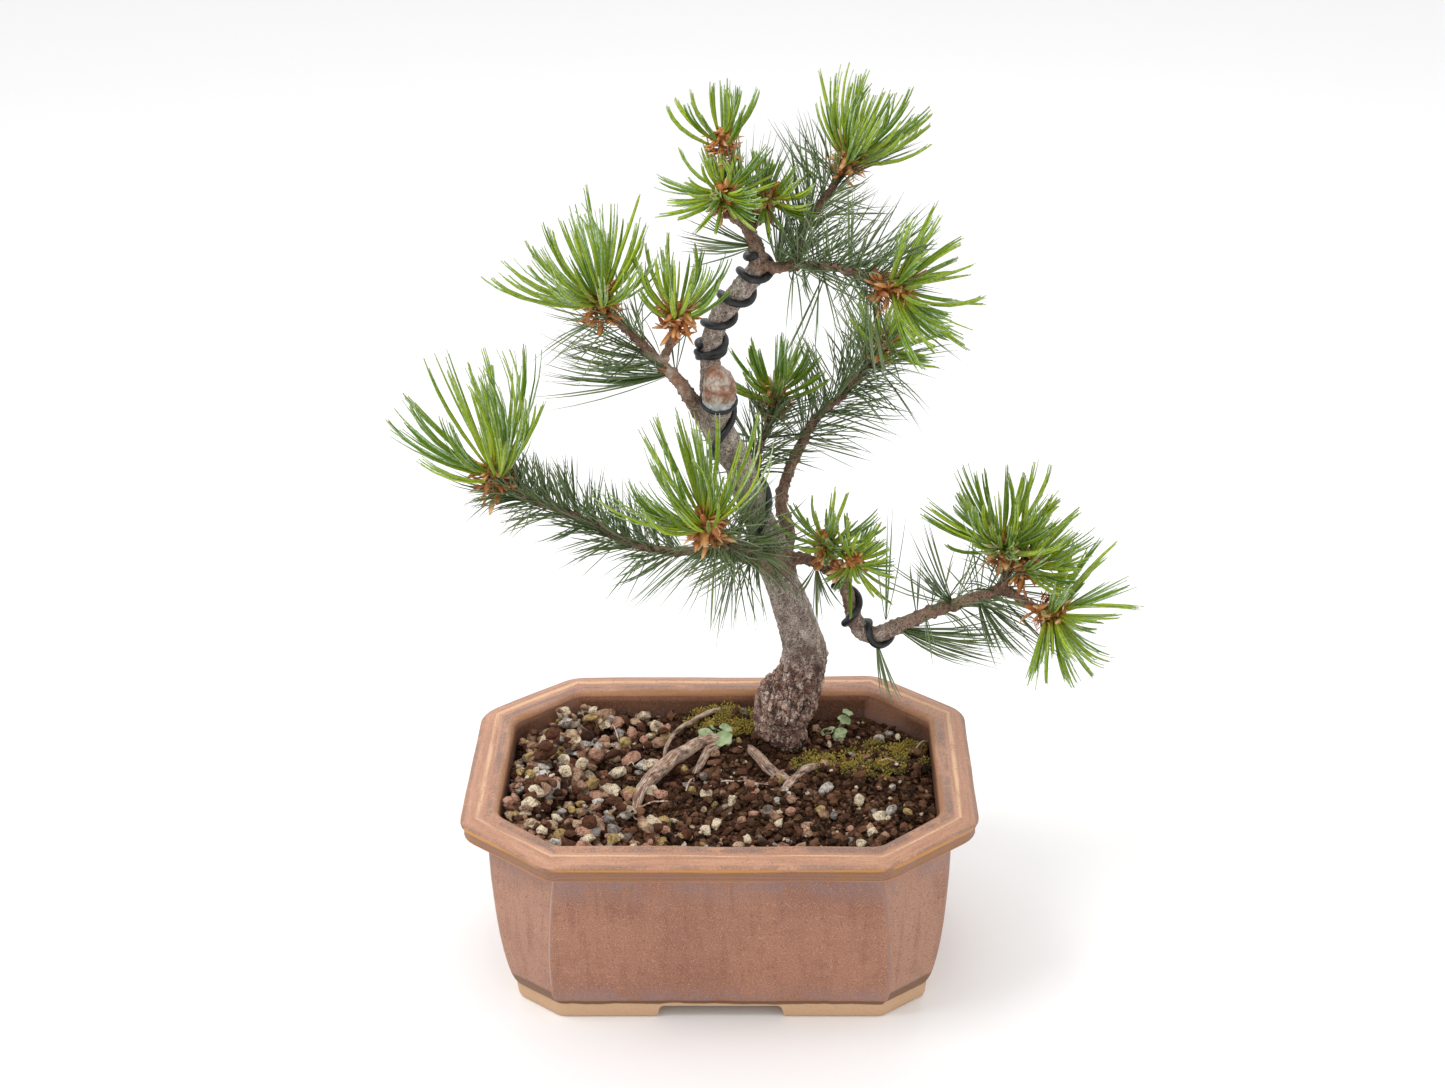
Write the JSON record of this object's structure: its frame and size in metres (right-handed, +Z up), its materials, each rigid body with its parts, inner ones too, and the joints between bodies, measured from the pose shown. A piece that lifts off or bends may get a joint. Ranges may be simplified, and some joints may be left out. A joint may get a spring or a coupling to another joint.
{
  "type": "bonsai tree in a pot",
  "caption": "Small white pine bonsai with a wired, leaning trunk and needle tufts, planted in soil and grit in a footed octagonal glazed ceramic pot.",
  "frame": {"origin": "middle of the underside of the whole object's box, on the surface the pot stands on", "axes": "+Z up; +X to the viewer's right along the pot's long side, towards the low right branch; +Y away from the viewer"},
  "size_m": [0.315, 0.1642, 0.3927],
  "materials": {
    "glaze": "speckled terracotta-pink satin glaze, ochre and grey where it breaks on edges; unglazed buff foot",
    "drain_mesh": "black plastic mesh",
    "soil": "dark crumbly damp soil",
    "grit": "mixed dark brown, tan, cream, pink and grey grit",
    "moss": "dry olive-yellow moss",
    "weed_leaf": "soft pale green leaf",
    "root_bark": "pale weathered root",
    "bark": "grey-brown flaky bark, redder at the swollen base",
    "training_wire": "black anodised semi-gloss",
    "new_needles": "fresh green, waxy, with pale inner faces and papery orange-brown bud scales",
    "old_needles": "blue-green, duller, some brown tips"
  },
  "bodies": {
    "root": {"pot": "glaze", "drain_screen_left": "drain_mesh", "drain_screen_right": "drain_mesh", "soil": "soil", "trunk": "bark", "branch_left_low": "bark", "branch_centre_front": "bark", "branch_left_mid": "bark", "branch_upper_right": "bark", "branch_right_low": "bark", "branch_back_right": "bark", "branch_back_centre": "bark", "root_left": "root_bark", "root_left_short": "root_bark", "root_front": "root_bark", "root_right": "root_bark", "root_thin": "root_bark", "gravel_bed": "grit", "moss_behind": "moss", "moss_right": "moss", "moss_far_right": "moss", "weed_left": "weed_leaf", "weed_right": "weed_leaf", "wire_middle": "training_wire", "wire_upper": "training_wire", "wire_right": "training_wire", "needles_apex": "new_needles", "needles_apex_front": "new_needles", "needles_apex_right": "new_needles", "needles_crown": "new_needles", "needles_upper_front": "new_needles", "needles_back_right": "new_needles", "needles_back_centre": "new_needles", "needles_left_mid": "new_needles", "needles_left_fork": "new_needles", "needles_left_low": "new_needles", "needles_centre_front": "new_needles", "needles_right_near": "new_needles", "needles_right_twig": "new_needles", "needles_right_low": "new_needles", "needles_right_tip": "new_needles", "old_needles_crown": "old_needles", "old_needles_upper_front": "old_needles", "old_needles_back_right": "old_needles", "old_needles_back_centre": "old_needles", "old_needles_left_mid": "old_needles", "old_needles_left_low": "old_needles", "old_needles_centre_front": "old_needles", "old_needles_right_low": "old_needles"}
  },
  "joints": []
}
